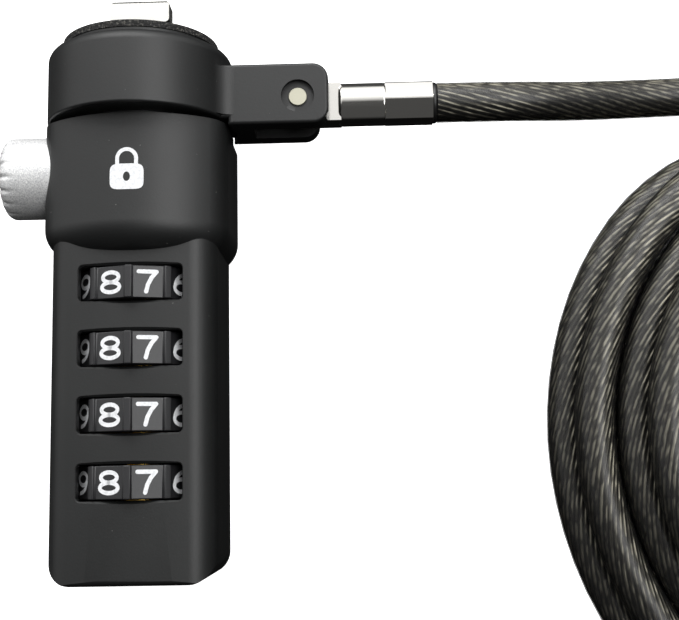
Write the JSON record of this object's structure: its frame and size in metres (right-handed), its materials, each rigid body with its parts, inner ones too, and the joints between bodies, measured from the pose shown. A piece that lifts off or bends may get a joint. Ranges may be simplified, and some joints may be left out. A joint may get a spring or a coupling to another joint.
{
  "type": "laptop cable lock",
  "caption": "Combination cable lock: T-bar nose, number dials, side push button, swivelling collar with a hinged terminal, coiled coated steel cable ending in an eye.",
  "frame": {"origin": "centre of the anti-scratch pad's face, which seats round a computer's security slot", "axes": "+Y along the lock's long axis towards the T-bar, +Z towards the side with the dial windows, the lock lying on its back"},
  "size_m": [0.1269, 0.087, 0.02],
  "materials": {
    "housing_paint": "matt soft-touch black",
    "cover_steel": "matt black",
    "screw_steel": "black oxide steel",
    "pad_rubber": "speckled foam rubber",
    "plated_steel": "nickel plated",
    "chrome": "polished chrome",
    "button_metal": "sand-blasted satin",
    "dial_black": "moulded black with white numbers",
    "brass": "machined",
    "spring_steel": "drawn wire",
    "cable_jacket": "smoke-black clear coating over steel strand",
    "boot_black": "matt black",
    "sleeve_metal": "pressed"
  },
  "bodies": {
    "cable": {"cable_terminal": "chrome", "terminal_boot": "boot_black", "cable_lead": "cable_jacket", "cable_coil": "cable_jacket", "cable_tail": "cable_jacket", "cable_loop": "cable_jacket", "loop_sleeve": "sleeve_metal"},
    "collar": {"collar": "housing_paint", "rivet": "plated_steel"},
    "housing": {"housing": "housing_paint", "rear_cover": "cover_steel", "cover_screws": "screw_steel", "nose_cap": "housing_paint", "cap_screws": "screw_steel", "guard_plate": "plated_steel", "pad": "pad_rubber", "code_sleeve": "brass", "detent_spring": "spring_steel", "end_plug": "plated_steel", "button_spring": "spring_steel", "bar_spring": "spring_steel"},
    "tbar": {"tbar": "plated_steel", "drive_pinion": "brass", "spindle_clip": "spring_steel"},
    "button": {"button": "button_metal", "button_slide": "plated_steel"},
    "locking_bar": {"locking_bar": "brass"},
    "reset_screw": {"reset_screw": "brass"},
    "dial_1": {"dial_1": "dial_black", "code_ring_1": "brass"},
    "dial_2": {"dial_2": "dial_black", "code_ring_2": "brass"},
    "dial_3": {"dial_3": "dial_black", "code_ring_3": "brass"},
    "dial_4": {"dial_4": "dial_black", "code_ring_4": "brass"}
  },
  "joints": [
    {"name": "cable_hinge", "type": "hinge", "parent": "cable", "child": "collar", "pos_m": [0.0175, -0.0072, 0], "axis": [0, 0, 1], "range_deg": [-90, 30]},
    {"name": "collar_swivel", "type": "hinge", "parent": "collar", "child": "housing", "pos_m": [0, -0.0055, 0], "axis": [0, 1, 0], "continuous": true},
    {"name": "button_press", "type": "slide", "parent": "housing", "child": "button", "axis": [1, 0, 0], "range_m": [0, 0.004], "stiffness_N_per_m": 200, "springref_m": -0.004, "deforming": ["button_spring", "bar_spring"]},
    {"name": "tbar_turn", "type": "hinge", "parent": "housing", "child": "tbar", "pos_m": [0, -0.01, 0], "axis": [0, 1, 0], "range_deg": [-90.5, 0.5]},
    {"name": "bar_slide", "type": "slide", "parent": "housing", "child": "locking_bar", "axis": [0, -1, 0], "range_m": [-0.0001, 0.0021]},
    {"name": "dial_1_turn", "type": "hinge", "parent": "housing", "child": "dial_1", "pos_m": [0, -0.0274, 0], "axis": [0, 1, 0], "continuous": true},
    {"name": "dial_2_turn", "type": "hinge", "parent": "housing", "child": "dial_2", "pos_m": [0, -0.03422, 0], "axis": [0, 1, 0], "continuous": true},
    {"name": "dial_3_turn", "type": "hinge", "parent": "housing", "child": "dial_3", "pos_m": [0, -0.04104, 0], "axis": [0, 1, 0], "continuous": true},
    {"name": "dial_4_turn", "type": "hinge", "parent": "housing", "child": "dial_4", "pos_m": [0, -0.04786, 0], "axis": [0, 1, 0], "continuous": true},
    {"name": "reset_turn", "type": "hinge", "parent": "housing", "child": "reset_screw", "pos_m": [0, -0.057, 0], "axis": [0, 1, 0], "range_deg": [0, 90]}
  ],
  "couplings": [
    {"joint": "tbar_turn", "follows": "button_press", "rad_per_m": -392.7},
    {"joint": "bar_slide", "follows": "button_press", "ratio": 0.5}
  ]
}
